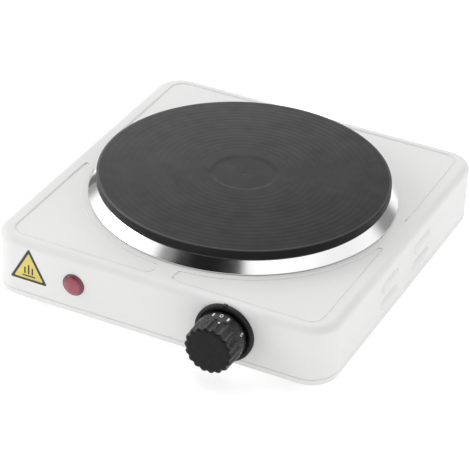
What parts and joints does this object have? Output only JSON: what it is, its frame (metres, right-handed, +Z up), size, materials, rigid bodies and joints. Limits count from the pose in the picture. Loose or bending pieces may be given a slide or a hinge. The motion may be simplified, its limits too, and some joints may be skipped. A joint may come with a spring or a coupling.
{
  "type": "electric hot plate",
  "caption": "Portable electric hot plate: square white sheet-steel case with a round cast iron burner, polished trim ring, black thermostat knob, red pilot lamp and low rubber feet.",
  "frame": {"origin": "on the surface that the feet stand on, at the middle of the footprint, knob and gland included", "axes": "+Z up, +Y from the knob side to the back, +X to the right as the user faces the knob"},
  "size_m": [0.231, 0.2666, 0.0628],
  "materials": {
    "white_paint": "smooth white baked enamel, semi-gloss",
    "black_iron": "black heat-resistant coating, satin, with fine turned rings",
    "polished_steel": "polished stainless steel",
    "knob_plastic": "black moulded plastic, semi-gloss",
    "bezel_plastic": "black moulded plastic, fine matt texture",
    "lens_plastic": "translucent red",
    "lamp_plastic": "natural white nylon",
    "lamp_glass": "clear glass bulb",
    "foot_rubber": "matt black rubber",
    "zinc_steel": "zinc plated, dull",
    "shield_steel": "aluminised sheet, dull",
    "spring_steel": "spring steel",
    "brass": "turned brass",
    "silver_contact": "silver alloy",
    "porcelain": "unglazed steatite",
    "cement": "pressed magnesia cement",
    "coil_wire": "oxidised resistance wire",
    "wire_sleeve_white": "glass-fibre sleeving, off-white",
    "wire_sleeve_brown": "silicone and glass-fibre insulation, brown",
    "wire_sleeve_blue": "silicone and glass-fibre insulation, blue",
    "wire_sleeve_green": "silicone and glass-fibre insulation, green and yellow",
    "label_film": "plain yellow film with a dark border"
  },
  "bodies": {
    "root": {"housing": "white_paint", "base_pan": "white_paint", "foot_front_left": "foot_rubber", "foot_front_right": "foot_rubber", "foot_rear_left": "foot_rubber", "foot_rear_right": "foot_rubber", "foot_screws": "zinc_steel", "corner_brackets": "zinc_steel", "hotplate": "black_iron", "heating_coil_inner": "coil_wire", "heating_coil_middle": "coil_wire", "heating_coil_outer": "coil_wire", "embedding_cement": "cement", "trim_ring": "polished_steel", "plate_cover": "shield_steel", "centre_stud": "zinc_steel", "cover_nut": "zinc_steel", "clamp_bar": "zinc_steel", "shield_rivets": "zinc_steel", "heat_shield": "shield_steel", "stud_washer": "zinc_steel", "stud_nut": "zinc_steel", "terminal_ceramic": "porcelain", "terminal_pins": "zinc_steel", "thermostat_bracket": "zinc_steel", "thermostat_screws": "zinc_steel", "thermostat_bush": "brass", "input_tab": "brass", "fixed_blade": "spring_steel", "bimetal_strip": "spring_steel", "fixed_contact": "silver_contact", "thermostat_insulators": "porcelain", "stack_rivet": "zinc_steel", "bezel": "bezel_plastic", "lamp_lens": "lens_plastic", "lamp_body": "lamp_plastic", "lamp_bulb": "lamp_glass", "lamp_retainer": "spring_steel", "mains_gland": "bezel_plastic", "terminal_block": "porcelain", "terminal_inserts": "brass", "terminal_clamp_screws": "zinc_steel", "earth_screw": "zinc_steel", "earth_tag": "brass", "earth_nut": "zinc_steel", "live_wire": "wire_sleeve_brown", "heater_wire": "wire_sleeve_white", "neutral_wire": "wire_sleeve_blue", "lamp_neutral_wire": "wire_sleeve_blue", "lamp_live_wire": "wire_sleeve_white", "earth_wire": "wire_sleeve_green", "front_label": "label_film"},
    "control": {"knob": "knob_plastic", "knob_clip": "spring_steel", "thermostat_spindle": "zinc_steel"},
    "contact_arm": {"moving_blade": "spring_steel", "moving_contact": "silver_contact", "push_button": "porcelain"}
  },
  "joints": [
    {"name": "thermostat_turn", "type": "hinge", "parent": "root", "child": "control", "pos_m": [0.0478, -0.1203, 0.0292], "axis": [0, 1, 0], "range_deg": [0, 300]},
    {"name": "contact_flex", "type": "hinge", "parent": "root", "child": "contact_arm", "pos_m": [0.0278, -0.09605, 0.0292], "axis": [0, 0, 1], "range_deg": [0, 0.95]}
  ],
  "couplings": [
    {"joint": "contact_flex", "follows": "thermostat_turn", "ratio": 0.0031}
  ]
}
